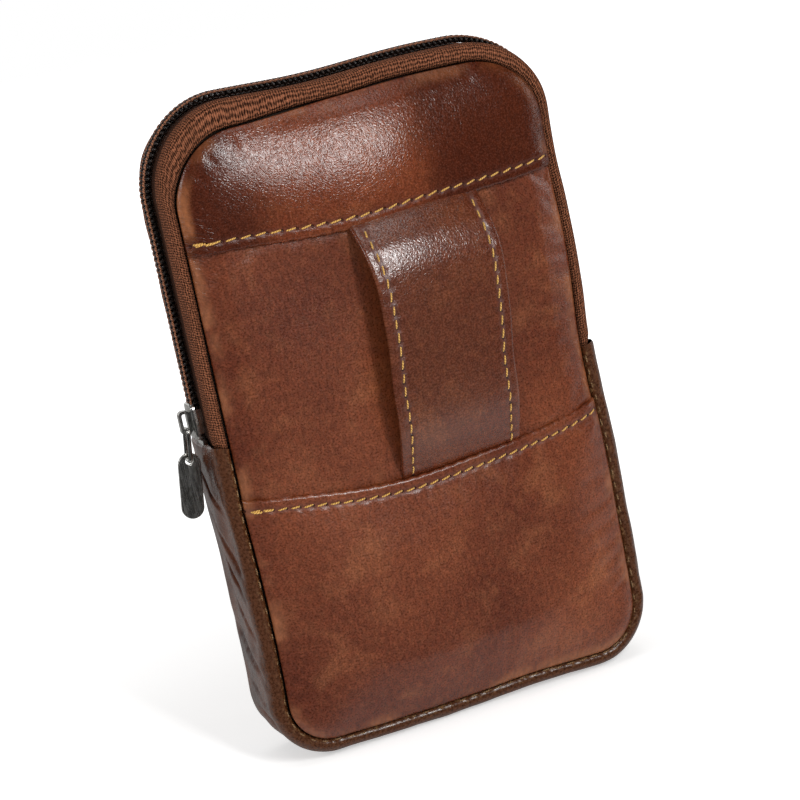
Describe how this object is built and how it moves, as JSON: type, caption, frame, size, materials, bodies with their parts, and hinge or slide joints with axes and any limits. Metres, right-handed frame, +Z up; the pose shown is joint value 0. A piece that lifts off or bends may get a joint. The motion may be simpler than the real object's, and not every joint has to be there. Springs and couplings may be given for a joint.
{
  "type": "belt pouch",
  "caption": "Upright leather belt pouch: padded panels, a zip round its upper half that lets the front fold open, and a stitched belt loop on its back.",
  "frame": {"origin": "centre of the underside of the gusset, where the pouch would stand on its base", "axes": "+Z up, the long way of the pouch; +Y towards the wearer, out of the back that carries the belt loop; +X to the right of somebody who looks at the front"},
  "size_m": [0.1187, 0.0385, 0.175],
  "materials": {
    "brown_leather": "waxed, with pulled-up paler patches",
    "dark_leather": "glossy and wrinkled",
    "zip_tape": "woven",
    "zip_coil": "satin",
    "nickel": "plated",
    "lining_cloth": "plain weave",
    "padding": "foam sheet"
  },
  "bodies": {
    "pouch_body": {"back_yoke": "brown_leather", "back_middle_panel": "brown_leather", "back_lower_panel": "brown_leather", "belt_loop_strap": "brown_leather", "belt_loop_backing": "brown_leather", "back_padding": "padding", "back_lining": "lining_cloth", "inner_slip_pocket": "lining_cloth", "pocket_binding": "dark_leather", "gusset": "dark_leather", "gusset_lining": "lining_cloth", "back_welt": "dark_leather", "front_welt": "dark_leather", "back_zip_tape": "zip_tape", "back_zip_coil": "zip_coil", "zip_stops": "nickel", "front_zip_tape_ends": "zip_tape", "front_zip_coil_ends": "zip_coil", "front_lower_panel": "brown_leather", "front_lower_padding": "padding", "front_lower_lining": "lining_cloth"},
    "front_flap": {"front_upper_panel": "brown_leather", "front_upper_padding": "padding", "front_upper_lining": "lining_cloth", "front_zip_tape": "zip_tape", "front_zip_coil": "zip_coil"},
    "zip_slider": {"zip_slider_body": "nickel", "zip_slider_bridge": "nickel"},
    "zip_pull": {"zip_pull_link": "nickel", "zip_pull_tab": "nickel"}
  },
  "joints": [
    {"name": "flap_fold", "type": "hinge", "parent": "pouch_body", "child": "front_flap", "pos_m": [0, -0.0147, 0.104], "axis": [1, 0, 0], "range_deg": [0, 30]},
    {"name": "zip_slide", "type": "slide", "parent": "pouch_body", "child": "zip_slider", "axis": [0, 0, 1], "range_m": [0, 0.05]},
    {"name": "pull_swing", "type": "hinge", "parent": "zip_slider", "child": "zip_pull", "pos_m": [0.05787, 0, 0.09335], "axis": [0, -1, 0], "range_deg": [0, 150]}
  ]
}
